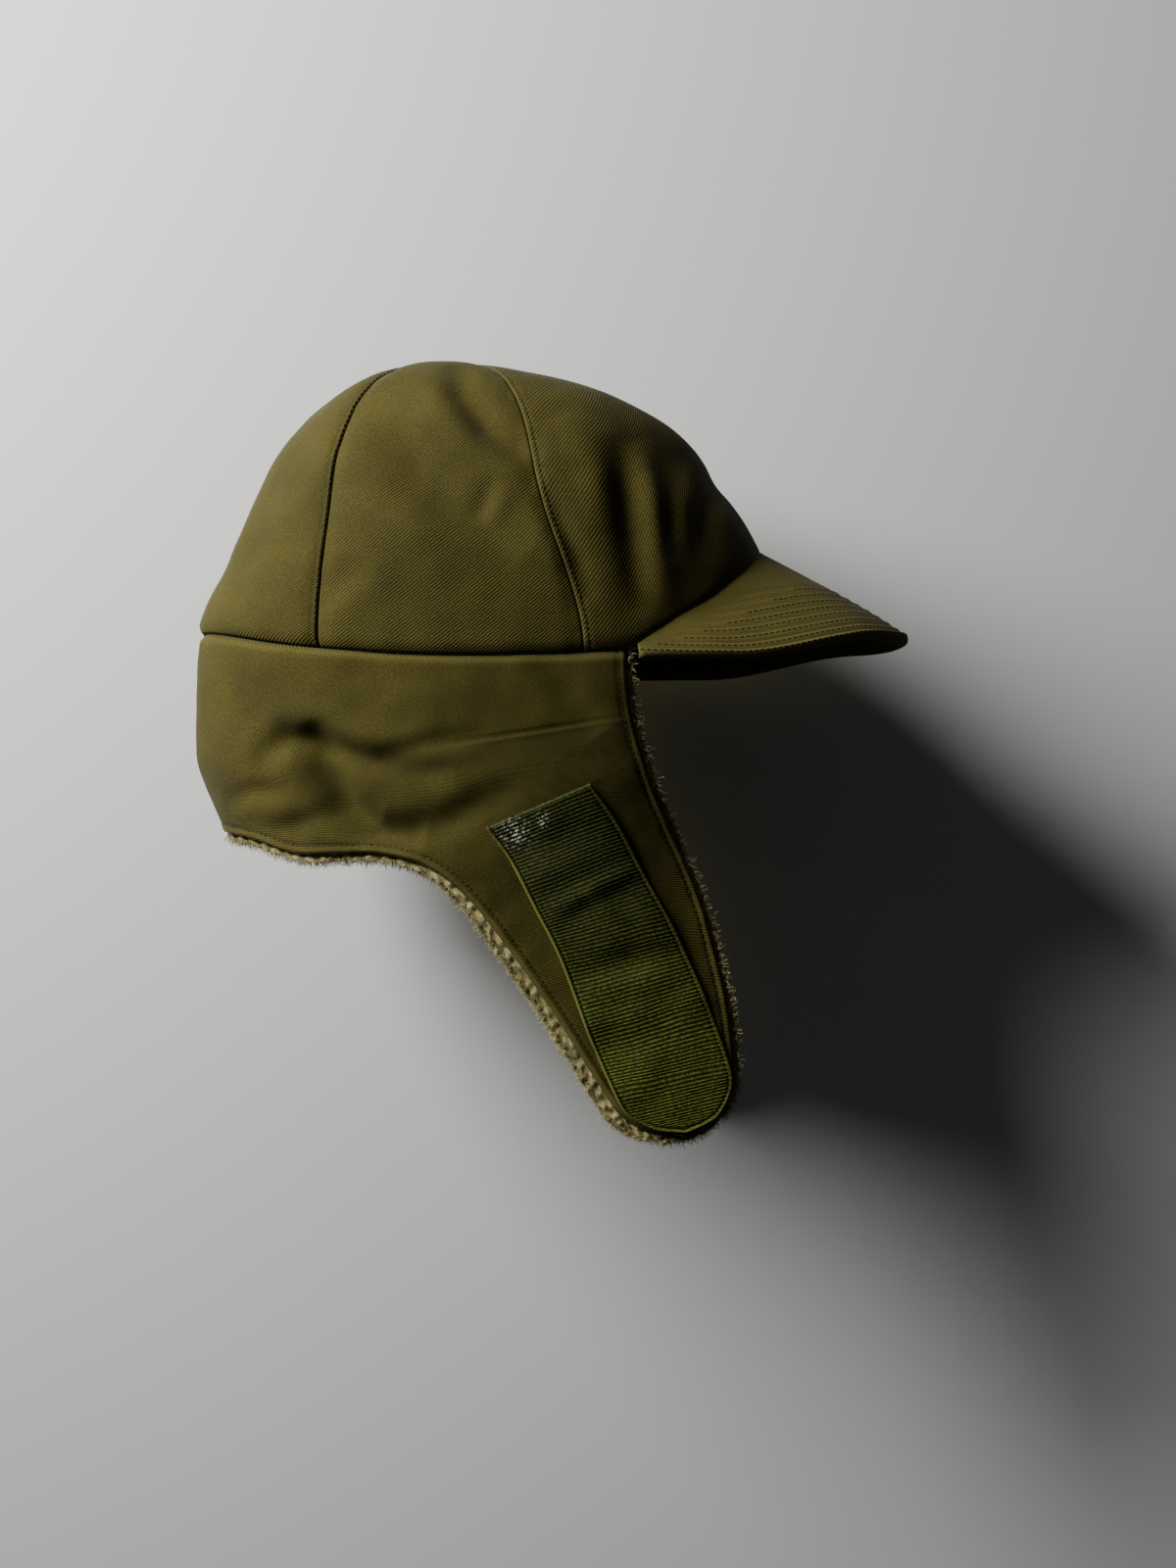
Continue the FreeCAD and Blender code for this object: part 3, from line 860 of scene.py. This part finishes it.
def buildVisor():
    across, deep = 150, 74
    u = np.linspace(-0.985, 0.985, across)[None, :] + np.zeros((deep, 1))
    v = -0.05 + 1.05 * np.sin(np.linspace(0, 1, deep) * math.pi / 2) ** 1.15  # closer rows at the edge
    v = v[:, None] + np.zeros((1, across))
    top = visorPoint(u, v)
    normals = visorNormals(top)
    depth = np.linalg.norm(top[-1] - top[3], axis=-1)[None, :]
    toEdge = np.linalg.norm(top - top[-1:], axis=-1)
    lift = np.zeros(top.shape[:2])
    for row in visor["stitchRows"]:
        here = np.clip((depth - row - 3) / 4, 0, 1)
        lift -= 0.35 * bell(toEdge - row, 0.8) * here
    lift += slack(top, visor["slack"])
    half = visor["thick"] / 2
    roll = half * (1 - np.sqrt(1 - np.clip(1 - toEdge / half, 0, 1) ** 2))
    bead = 0.45 * bell(toEdge - 2.0, 1.1)
    lift += bead - roll
    upper = top + normals * lift[..., None]
    lower = top - normals * (visor["thick"] + bead - roll)[..., None]
    # paler rim, and the whole visor paler as painted light; the underside gets half as much, a painted shade
    # beside the top
    wearAndPaintedLight = bell(toEdge - 1.0, 1.0) + visor["wornAndLit"]
    pieces = []
    for name, grid, way in (("visor_top", upper, 1), ("visor_under", lower, -1)):
        piece = clothFromGrid(name, grid, values={"wearAndPaintedLight": wearAndPaintedLight * (1 if way > 0 else 0.5)})
        finishCloth(piece, 1.0, lambda p, way=way: (0, 0, way))
        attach(piece, "cap")
        pieces.append(piece)
    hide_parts("visor_top_cover", "visor_board")
    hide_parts("visor_under_cover")
    for i, row in enumerate(visor["stitchRows"]):
        line, normal = offsetRow(upper, normals, row)
        stitches.append(stitchLine(f"visor_stitches_{i + 1}", line, normal))
    return pieces


def offsetRow(grid, normals, distance):
    # the line at a distance from a grid's last row, measured up its columns
    turned, n = np.swapaxes(grid, 0, 1)[:, ::-1], np.swapaxes(normals, 0, 1)[:, ::-1]
    return offsetColumn(turned[:, :-4], n[:, :-4], distance, False)


print("shaping crown, sides and visor")
gores = buildCrown()
linings = buildLining()
foreheadBand = buildBand()
blankLabel = buildLabel()
sides = buildSides()
visorPieces = buildVisor()
print("growing the pile")
piles = buildPile()
curls = buildCurls()


# Loop tape on the right flap and hook tape inside the left one.
tapePairs = [
    (2.2, -76.1, 42.0, -59.0),
    (11.5, -89.5, 52.5, -74.5),
    (21.0, -108.0, 62.0, -92.5),
    (30.5, -127.0, 75.0, -116.0),
    (41.5, -156.5, 87.0, -143.0),
    (50.0, -176.0, 95.5, -166.5),
    (56.0, -186.8, 97.0, -177.0),
    (64.0, -192.0, 92.6, -186.6),
    (70.5, -193.7, 86.8, -191.0),
    (78.2, -194.2, 79.6, -194.0),
]
tapeFolds = [
    {"line": [(26, -109), (44, -99), (63, -91)], "deep": -0.9, "wide": 3.6, "ridge": 0.3},
    {"line": [(40, -100), (48, -107), (58, -114)], "deep": -0.7, "wide": 3.0, "ridge": 0.3},
    {"line": [(32, -135), (54, -129), (78, -125)], "deep": 1.1, "wide": 5.5, "ridge": 0.3},
]
tape = {
    "proud": 1.5,
    "cloth": 0.9,
    "rib": 1.5,
    "ribDeep": 0.17,
    "ribSway": [(1.3, 9.0, 1.9)],
    "selvage": 0.9,
    "stitchIn": 1.8,
    "slack": [(0.7, 15.0, 2.2)],
    "lint": [((13.5, -78.0), 5.0), ((24.0, -73.0), 2.6)],  # patches of caught fluff, each with its size
}


def tapeGrid(rows, columns, proud, first=0.0, last=9.0, margin=0.0):
    pairs = np.array(tapePairs)
    reach = np.linalg.norm(np.diff(pairs.reshape(-1, 2, 2), axis=0), axis=-1).mean(axis=1)
    total = np.concatenate([[0], np.cumsum(reach)])
    count = np.arange(len(total))
    start, end = np.interp((first, last), count, total)
    at = np.interp(np.linspace(start, end, rows), total, count)
    ends = throughPoints(tapePairs, at)
    wide = np.hypot(ends[:, 2] - ends[:, 0], ends[:, 3] - ends[:, 1])[:, None]
    share = np.minimum(margin / wide, 0.45)
    u = share + (1 - 2 * share) * np.linspace(0, 1, columns)[None, :]
    x = ends[:, :1] + (ends[:, 2:3] - ends[:, :1]) * u
    z = ends[:, 1:2] + (ends[:, 3:4] - ends[:, 1:2]) * u
    return wallPoint(wallTurn(x, z), z, -proud), np.interp(at, count, total)


def buildLoopTape():
    grid, along = tapeGrid(430, 90, tape["proud"])
    normals = normalsOf(grid)
    sides = distanceTo(grid, np.vstack([grid[:, 0], grid[:, -1]]))
    edge = np.minimum(sides, distanceTo(grid, np.vstack([grid[0], grid[-1]])))
    across, _ = arcLengths(grid)
    slant = along[:, None] + 1.6 * np.sin(across / 9 + along[:, None] / 25)
    wave = bell(np.mod(slant - 12, 31) - 15, 6.0) - 0.5 * bell(np.mod(slant + 6, 43) - 21, 5.0)
    lift = 0.48 * wave * (1 + unevenness(grid, 30.0, 5.1)) + slack(grid, tape["slack"])
    lift += foldDepth(grid[..., 0], grid[..., 2], tapeFolds)
    sway = 0.5 * np.sin(across / 6) + slack(grid, tape["ribSway"])
    ribs = np.sin(2 * math.pi * along[:, None] / tape["rib"] + sway)
    lift += tape["ribDeep"] * ribs * ease(edge, 1.0, 1.8)
    lift += 0.3 * bell(sides - 0.7, 0.5) - 0.4 * bell(sides - tape["stitchIn"], 0.5)
    lift -= 0.9 * np.clip(1 - edge / 0.6, 0, 1)
    lint = sum(bell(np.hypot(grid[..., 0] - x, grid[..., 2] - z), size) for (x, z), size in tape["lint"])
    lint = lint * (unevenness(grid, 1.0, 3.3) > 0.16)
    grid = grid + normals * lift[..., None]
    low = ease(along[:, None] + 0 * sides, 3, 16) * (1 - ease(along[:, None] + 0 * sides, 118, 134))
    values = {
        "selvage": ease(-sides, -tape["selvage"] - 0.3, -tape["selvage"]) * (0.25 + 0.75 * low),
        "lint": lint,
        # painted shade between the ribs and painted highlight on them; darker at the tape's upper end and paler
        # towards its tip, as painted light
        "rib": (0.5 + 0.5 * ribs) * (0.2 + 1.1 * ease(along[:, None], 30, 120)),
    }
    piece = clothFromGrid("loop_tape", grid, values=values)
    finishCloth(piece, tape["cloth"], awayFromMiddle)
    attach(piece, "right_flap")
    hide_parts("loop_tape_right")
    for name, column in (("rear", False), ("front", True)):
        line, normal = offsetColumn(grid, normals, tape["stitchIn"], column)
        flapStitches["right"].append(stitchLine(f"tape_stitches_{name}", line, normal, size=0.8))
    return piece


hooks = {
    "inset": 9.4,
    "cloth": 1.0,
    "margin": 5.5,
    "span": (3.9, 7.3),  # the pairs of the loop tape between which it lies
    "pitch": 1.9,
    "stitchIn": 1.6,
    "slack": [(0.3, 15.0, 6.6)],
}


def buildHookTape():
    grid, along = tapeGrid(120, 60, -hooks["inset"], *hooks["span"], hooks["margin"])
    normals = normalsOf(grid)
    across, _ = arcLengths(grid)
    wave = 2 * math.pi / hooks["pitch"]
    bumps = np.sin(wave * along[:, None]) * np.sin(wave * across)
    grid = grid - normals * (0.2 * bumps + slack(grid, hooks["slack"]))[..., None]
    piece = clothFromGrid("hook_tape", grid, mirror=True)
    finishCloth(piece, hooks["cloth"], awayFromMiddle)
    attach(piece, "left_flap")
    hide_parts("hook_tape_left")
    for name, column in (("rear", False), ("front", True)):
        line, normal = offsetColumn(grid - normals * hooks["cloth"], -normals, hooks["stitchIn"], column)
        flapStitches["left"].append(stitchLine(f"hook_stitches_{name}", line, normal, True, size=0.85))
    return piece


flapStitches = {"right": [], "left": []}
loopTape = buildLoopTape()
hookTape = buildHookTape()
print("tape made")


# Materials.
def colour(text):
    # sRGB hex to linear
    channels = [int(text[i:i + 2], 16) / 255 for i in (0, 2, 4)]
    linear = [c / 12.92 if c <= 0.04045 else ((c + 0.055) / 1.055) ** 2.4 for c in channels]
    return (*linear, 1.0)


def addNode(tree, kind, settings=None, links=None):
    made = tree.nodes.new(kind)
    for name, value in (settings or {}).items():
        if isinstance(name, str) and hasattr(made, name):
            setattr(made, name, value)
        else:
            made.inputs[name].default_value = value
    for name, source in (links or {}).items():
        tree.links.new(source, made.inputs[name])
    return made


def newMaterial(name):
    material = bpy.data.materials.new(name)
    material.use_nodes = True
    material.node_tree.nodes.clear()
    return material, material.node_tree


# Cotton and nylon twill, piece-dyed olive: dull, with a fine diagonal rib, paler worn edges, and painted
# highlights and painted light where folded edges and the visor's top face the light.
twill = {
    "light": "544d18",
    "dark": "35300b",
    "wornAndLit": "7c733a",
    "rib": 1.05,
    "slant": -52,
    "thread": 10 / 9,
    "slub": 24.0,
}


def makeTwill(name, look):
    material, tree = newMaterial(name)
    place = addNode(tree, "ShaderNodeTexCoord")
    turned = addNode(tree, "ShaderNodeMapping", {"Rotation": (0, 0, math.radians(look["slant"]))},
                     {"Vector": place.outputs["UV"]})
    # a wave's period is 2 pi / 20 of a unit at scale 1; real twill is half as coarse
    scale = 1000 / look["rib"] * 2 * math.pi / 20
    rib = addNode(tree, "ShaderNodeTexWave",
                  {"wave_type": "BANDS", "bands_direction": "X", "Scale": scale,
                   "Distortion": 1.2, "Detail": 2.0, "Detail Scale": 1.5},
                  {"Vector": turned.outputs["Vector"]})
    threads = addNode(tree, "ShaderNodeTexNoise", {"Scale": 1000 / look["thread"], "Detail": 3.0},
                      {"Vector": place.outputs["UV"]})
    blotch = addNode(tree, "ShaderNodeTexNoise",
                     {"Scale": 1000 / look["slub"], "Detail": 4.0, "Roughness": 0.6},
                     {"Vector": place.outputs["Object"]})
    mixed = addNode(tree, "ShaderNodeMix",
                    {"data_type": "RGBA", 6: colour(look["dark"]), 7: colour(look["light"])},
                    {0: blotch.outputs["Fac"]})
    lines = addNode(tree, "ShaderNodeMapRange", {"To Min": 0.62, "To Max": 1.32},
                    {"Value": rib.outputs["Fac"]})
    shaded = addNode(tree, "ShaderNodeMix", {"data_type": "RGBA", "blend_type": "MULTIPLY", 0: 1.0},
                     {6: mixed.outputs[2], 7: lines.outputs["Result"]})
    grain = addNode(tree, "ShaderNodeMapRange", {"To Min": 0.3, "To Max": 1.7},
                    {"Value": threads.outputs["Fac"]})
    grained = addNode(tree, "ShaderNodeMix", {"data_type": "RGBA", "blend_type": "MULTIPLY", 0: 1.0},
                      {6: shaded.outputs[2], 7: grain.outputs["Result"]})
    # the attribute mixes in the paler tone: rubbed wear at edges, plus painted highlight and painted light
    # where the cloth faces the light
    wearAndPaintedLight = addNode(tree, "ShaderNodeAttribute", {"attribute_name": "wearAndPaintedLight"})
    some = addNode(tree, "ShaderNodeMath", {"operation": "MULTIPLY", 1: 0.45}, {0: wearAndPaintedLight.outputs["Fac"]})
    wornAndLit = addNode(tree, "ShaderNodeMix", {"data_type": "RGBA", 7: colour(look["wornAndLit"])},
                   {0: some.outputs["Value"], 6: grained.outputs[2]})
    relief = addNode(tree, "ShaderNodeBump", {"Strength": 0.55, "Distance": 0.25 * mm},
                     {"Height": rib.outputs["Fac"]})
    fine = addNode(tree, "ShaderNodeBump", {"Strength": 0.3, "Distance": 0.2 * mm},
                   {"Height": threads.outputs["Fac"], "Normal": relief.outputs["Normal"]})
    shader = addNode(tree, "ShaderNodeBsdfPrincipled",
                     {"Roughness": 0.85, "Specular IOR Level": 0.18, "IOR": 1.5,
                      "Sheen Weight": 0.03, "Sheen Roughness": 0.45},
                     {"Base Color": wornAndLit.outputs[2], "Normal": fine.outputs["Normal"]})
    addNode(tree, "ShaderNodeOutputMaterial", None, {"Surface": shader.outputs["BSDF"]})
    return material


# Polyester pile in loose curls: pale khaki at the tips, brown-green where the light can't reach.
pile = {"tip": "bdb172", "root": "7c7245", "curl": 1.1}


def makePile():
    material, tree = newMaterial("curly polyester pile")
    place = addNode(tree, "ShaderNodeTexCoord")
    tips = addNode(tree, "ShaderNodeAttribute", {"attribute_name": "tips"})
    curls = addNode(tree, "ShaderNodeTexNoise",
                    {"Scale": 1000 / pile["curl"], "Detail": 3.0, "Distortion": 1.5},
                    {"Vector": place.outputs["Object"]})
    mixed = addNode(tree, "ShaderNodeMix",
                    {"data_type": "RGBA", 6: colour(pile["root"]), 7: colour(pile["tip"])},
                    {0: tips.outputs["Fac"]})
    grain = addNode(tree, "ShaderNodeMapRange", {"To Min": 0.7, "To Max": 1.25},
                    {"Value": curls.outputs["Fac"]})
    grained = addNode(tree, "ShaderNodeMix", {"data_type": "RGBA", "blend_type": "MULTIPLY", 0: 1.0},
                      {6: mixed.outputs[2], 7: grain.outputs["Result"]})
    relief = addNode(tree, "ShaderNodeBump", {"Strength": 0.8, "Distance": 0.6 * mm},
                     {"Height": curls.outputs["Fac"]})
    shader = addNode(tree, "ShaderNodeBsdfPrincipled",
                     {"Roughness": 0.95, "Specular IOR Level": 0.1,
                      "Sheen Weight": 0.3, "Sheen Roughness": 0.6},
                     {"Base Color": grained.outputs[2], "Normal": relief.outputs["Normal"]})
    addNode(tree, "ShaderNodeOutputMaterial", None, {"Surface": shader.outputs["BSDF"]})
    return material


# Nylon loop tape, dyed a yellower green, with pale woven edges: painted shade between its cross ribs and
# painted highlight on them, and painted light that leaves its upper end dark and its tip pale.
loop = {"deep": "141804", "high": "6a7320", "edge": "666d22", "lint": "c9ccb4", "fuzz": 4 / 3}


def makeLoopTape():
    material, tree = newMaterial("nylon loop tape")
    place = addNode(tree, "ShaderNodeTexCoord")
    fuzz = addNode(tree, "ShaderNodeTexNoise", {"Scale": 1000 / loop["fuzz"], "Detail": 5.0, "Roughness": 0.75},
                   {"Vector": place.outputs["UV"]})
    flecks = addNode(tree, "ShaderNodeValToRGB", None, {"Fac": fuzz.outputs["Fac"]})
    for stop, position, tone in zip(flecks.color_ramp.elements, (0.36, 0.72), ("deep", "high")):
        stop.position = position
        stop.color = colour(loop[tone])
    # painted shade and highlight, read from the ribs' attribute
    rib = addNode(tree, "ShaderNodeAttribute", {"attribute_name": "rib"})
    depth = addNode(tree, "ShaderNodeMapRange", {"To Min": 0.42, "To Max": 1.6},
                    {"Value": rib.outputs["Fac"]})
    ribbed = addNode(tree, "ShaderNodeMix", {"data_type": "RGBA", "blend_type": "MULTIPLY", 0: 1.0},
                     {6: flecks.outputs["Color"], 7: depth.outputs["Result"]})
    edge = addNode(tree, "ShaderNodeAttribute", {"attribute_name": "selvage"})
    woven = addNode(tree, "ShaderNodeMix", {"data_type": "RGBA", 7: colour(loop["edge"])},
                    {0: edge.outputs["Fac"], 6: ribbed.outputs[2]})
    lint = addNode(tree, "ShaderNodeAttribute", {"attribute_name": "lint"})
    mixed = addNode(tree, "ShaderNodeMix", {"data_type": "RGBA", 7: colour(loop["lint"])},
                    {0: lint.outputs["Fac"], 6: woven.outputs[2]})
    relief = addNode(tree, "ShaderNodeBump", {"Strength": 0.7, "Distance": 0.4 * mm},
                     {"Height": fuzz.outputs["Fac"]})
    shader = addNode(tree, "ShaderNodeBsdfPrincipled",
                     {"Roughness": 0.75, "Specular IOR Level": 0.2,
                      "Sheen Weight": 0.05, "Sheen Roughness": 0.4},
                     {"Base Color": mixed.outputs[2], "Normal": relief.outputs["Normal"]})
    addNode(tree, "ShaderNodeOutputMaterial", None, {"Surface": shader.outputs["BSDF"]})
    return material


# Plain cloths that show little: a base colour with a slow change in it and a fine weave.
plainCloths = {
    "quilted nylon lining": {"light": "5d5a33", "dark": "4a4728", "weave": 0.5, "rough": 0.45},
    "cotton jersey band": {"light": "57532f", "dark": "474425", "weave": 0.9, "rough": 0.9},
    "woven polyester label": {"light": "d0ccba", "dark": "bdb9a6", "weave": 0.6, "rough": 0.7},
    "nylon hook tape": {"light": "343612", "dark": "22230a", "weave": 1.2, "rough": 0.85},
    # darker than the twill: painted shade of the needle holes along the stitch rows
    "polyester sewing thread": {"light": "3a3414", "dark": "27230c", "weave": 0.5, "rough": 0.6},
}


def makePlainCloth(name):
    look = plainCloths[name]
    material, tree = newMaterial(name)
    place = addNode(tree, "ShaderNodeTexCoord")
    slow = addNode(tree, "ShaderNodeTexNoise", {"Scale": 60.0, "Detail": 3.0},
                   {"Vector": place.outputs["Object"]})
    weave = addNode(tree, "ShaderNodeTexNoise", {"Scale": 1000 / look["weave"], "Detail": 2.0},
                    {"Vector": place.outputs["Object"]})
    mixed = addNode(tree, "ShaderNodeMix",
                    {"data_type": "RGBA", 6: colour(look["dark"]), 7: colour(look["light"])},
                    {0: slow.outputs["Fac"]})
    relief = addNode(tree, "ShaderNodeBump", {"Strength": 0.4, "Distance": 0.2 * mm},
                     {"Height": weave.outputs["Fac"]})
    shader = addNode(tree, "ShaderNodeBsdfPrincipled", {"Roughness": look["rough"], "Specular IOR Level": 0.3},
                     {"Base Color": mixed.outputs[2], "Normal": relief.outputs["Normal"]})
    addNode(tree, "ShaderNodeOutputMaterial", None, {"Surface": shader.outputs["BSDF"]})
    return material


def dress(piece, material):
    piece.data.materials.clear()
    piece.data.materials.append(material)


shellTwill = makeTwill("olive cotton twill", twill)
pileCloth = makePile()
loopNylon = makeLoopTape()
liningNylon, jersey, labelCloth, hookNylon, sewingThread = [makePlainCloth(name) for name in plainCloths]
for piece in list(gores.values()) + visorPieces + [sides["right"][0], sides["left"][0]]:
    dress(piece, shellTwill)
for piece in list(piles.values()) + list(curls.values()):
    dress(piece, pileCloth)
for piece in linings:
    dress(piece, liningNylon)
dress(loopTape, loopNylon)
dress(hookTape, hookNylon)
dress(foreheadBand, jersey)
dress(blankLabel, labelCloth)

capStitches = joinPieces("cap_stitches", stitches)
dress(capStitches, sewingThread)
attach(capStitches, "cap")
bpy.data.objects.remove(stitchSeed)

# Cloth that crosses the fold of an ear flap stays on no body, with its placement baked into its mesh; the tape
# stitches go with their flap.
for side, sign in (("right", -1), ("left", 1)):
    cloth, sewn = sides[side]
    dress(sewn, sewingThread)
    for piece in (cloth, sewn, piles[side], curls[side]):
        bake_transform(piece)
    onFlap = joinPieces(f"tape_stitches_{side}", flapStitches[side])
    dress(onFlap, sewingThread)
    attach(onFlap, f"{side}_flap")

# Backdrop, light and camera.
studio = {"wall": 0.092, "wallTone": "e9e9e6", "airTone": "d8dce0", "air": 0.03, "aim": (0.02, 0, -0.03)}
bpy.ops.object.select_all(action="DESELECT")
bpy.ops.mesh.primitive_plane_add(size=4, location=(0, studio["wall"], 0), rotation=(math.pi / 2, 0, 0))
backdrop = bpy.context.object
backdrop.name = "backdrop"
backdrop.visible_shadow = False
backdrop.visible_diffuse = False
material, tree = newMaterial("pale paper")
sheetSide = addNode(tree, "ShaderNodeNewGeometry")
paper = addNode(tree, "ShaderNodeBsdfDiffuse", {"Color": colour(studio["wallTone"])})
clear = addNode(tree, "ShaderNodeBsdfTransparent")
shown = addNode(tree, "ShaderNodeMixShader", None,
                {0: sheetSide.outputs["Backfacing"], 1: paper.outputs[0], 2: clear.outputs[0]})
addNode(tree, "ShaderNodeOutputMaterial", None, {"Surface": shown.outputs[0]})
dress(backdrop, material)

lights = [
    {"name": "window", "at": (-0.78, -0.44, 0.58), "size": 0.6, "watts": 26.0},
    {"name": "back left", "at": (-0.5, 1.2, 0.6), "size": 1.0, "watts": 14.0},
]
for lamp in lights:
    data = bpy.data.lights.new(lamp["name"], "AREA")
    data.shape = "DISK"
    data.size = lamp["size"]
    data.energy = lamp["watts"]
    holder = bpy.data.objects.new(lamp["name"], data)
    bpy.context.scene.collection.objects.link(holder)
    holder.location = lamp["at"]
    aim = Vector(studio["aim"]) - holder.location
    holder.rotation_euler = aim.to_track_quat("-Z", "Y").to_euler()

world = bpy.data.worlds.new("room")
bpy.context.scene.world = world
world.use_nodes = True
air = world.node_tree.nodes["Background"]
air.inputs["Color"].default_value = colour(studio["airTone"])
air.inputs["Strength"].default_value = studio["air"]

view = {"lens": 37.17, "sensor": 36, "at": (0.0415, -0.700, -0.0593)}
lens = bpy.data.cameras.new("camera")
lens.lens = view["lens"]
lens.sensor_width = view["sensor"]
camera = bpy.data.objects.new("camera", lens)
bpy.context.scene.collection.objects.link(camera)
camera.location = view["at"]
camera.rotation_euler = (math.pi / 2, 0, 0)
bpy.context.scene.camera = camera
